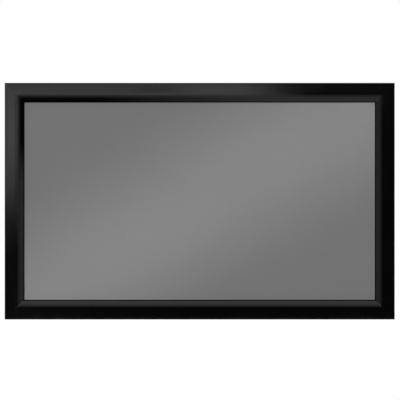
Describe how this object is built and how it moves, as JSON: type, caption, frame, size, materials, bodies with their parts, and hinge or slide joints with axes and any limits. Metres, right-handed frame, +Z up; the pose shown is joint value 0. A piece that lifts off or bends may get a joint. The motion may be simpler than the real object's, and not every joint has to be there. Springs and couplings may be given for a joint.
{
  "type": "fixed frame projection screen",
  "caption": "Flat projection screen for a wall: a grey sheet held taut in a wide, bevelled black frame by rods and springs, hung on wall cleats.",
  "frame": {"origin": "centre of the box round the whole screen, cleats and bumpers included", "axes": "+X to the viewer's right, +Y from the picture to the wall, +Z up"},
  "size_m": [1.772, 0.046, 1.075],
  "materials": {
    "frame_black": "satin",
    "sheet_grey": "matte",
    "rod_fibreglass": "satin",
    "spring_steel": "satin",
    "screw_steel": "satin",
    "zinc_plate": "satin",
    "brace_aluminium": "satin",
    "bumper_rubber": "matte"
  },
  "bodies": {
    "root": {"top_rail": "frame_black", "bottom_rail": "frame_black", "left_stile": "frame_black", "right_stile": "frame_black", "projection_sheet": "sheet_grey", "top_tension_rod": "rod_fibreglass", "bottom_tension_rod": "rod_fibreglass", "left_tension_rod": "rod_fibreglass", "right_tension_rod": "rod_fibreglass", "top_spring_1": "spring_steel", "top_spring_2": "spring_steel", "top_spring_3": "spring_steel", "top_spring_4": "spring_steel", "top_spring_5": "spring_steel", "top_spring_6": "spring_steel", "bottom_spring_1": "spring_steel", "bottom_spring_2": "spring_steel", "bottom_spring_3": "spring_steel", "bottom_spring_4": "spring_steel", "bottom_spring_5": "spring_steel", "bottom_spring_6": "spring_steel", "left_spring_1": "spring_steel", "left_spring_2": "spring_steel", "left_spring_3": "spring_steel", "left_spring_4": "spring_steel", "right_spring_1": "spring_steel", "right_spring_2": "spring_steel", "right_spring_3": "spring_steel", "right_spring_4": "spring_steel", "top_left_corner_bracket": "zinc_plate", "top_right_corner_bracket": "zinc_plate", "bottom_left_corner_bracket": "zinc_plate", "bottom_right_corner_bracket": "zinc_plate", "top_left_rail_screw_1": "screw_steel", "top_left_stile_screw_1": "screw_steel", "top_left_rail_screw_2": "screw_steel", "top_left_stile_screw_2": "screw_steel", "top_right_rail_screw_1": "screw_steel", "top_right_stile_screw_1": "screw_steel", "top_right_rail_screw_2": "screw_steel", "top_right_stile_screw_2": "screw_steel", "bottom_left_rail_screw_1": "screw_steel", "bottom_left_stile_screw_1": "screw_steel", "bottom_left_rail_screw_2": "screw_steel", "bottom_left_stile_screw_2": "screw_steel", "bottom_right_rail_screw_1": "screw_steel", "bottom_right_stile_screw_1": "screw_steel", "bottom_right_rail_screw_2": "screw_steel", "bottom_right_stile_screw_2": "screw_steel", "top_brace_screw": "screw_steel", "bottom_brace_screw": "screw_steel", "centre_brace": "brace_aluminium", "top_nut_plate": "zinc_plate", "bottom_nut_plate": "zinc_plate", "left_wall_cleat": "zinc_plate", "left_bumper": "bumper_rubber", "right_wall_cleat": "zinc_plate", "right_bumper": "bumper_rubber"}
  },
  "joints": []
}
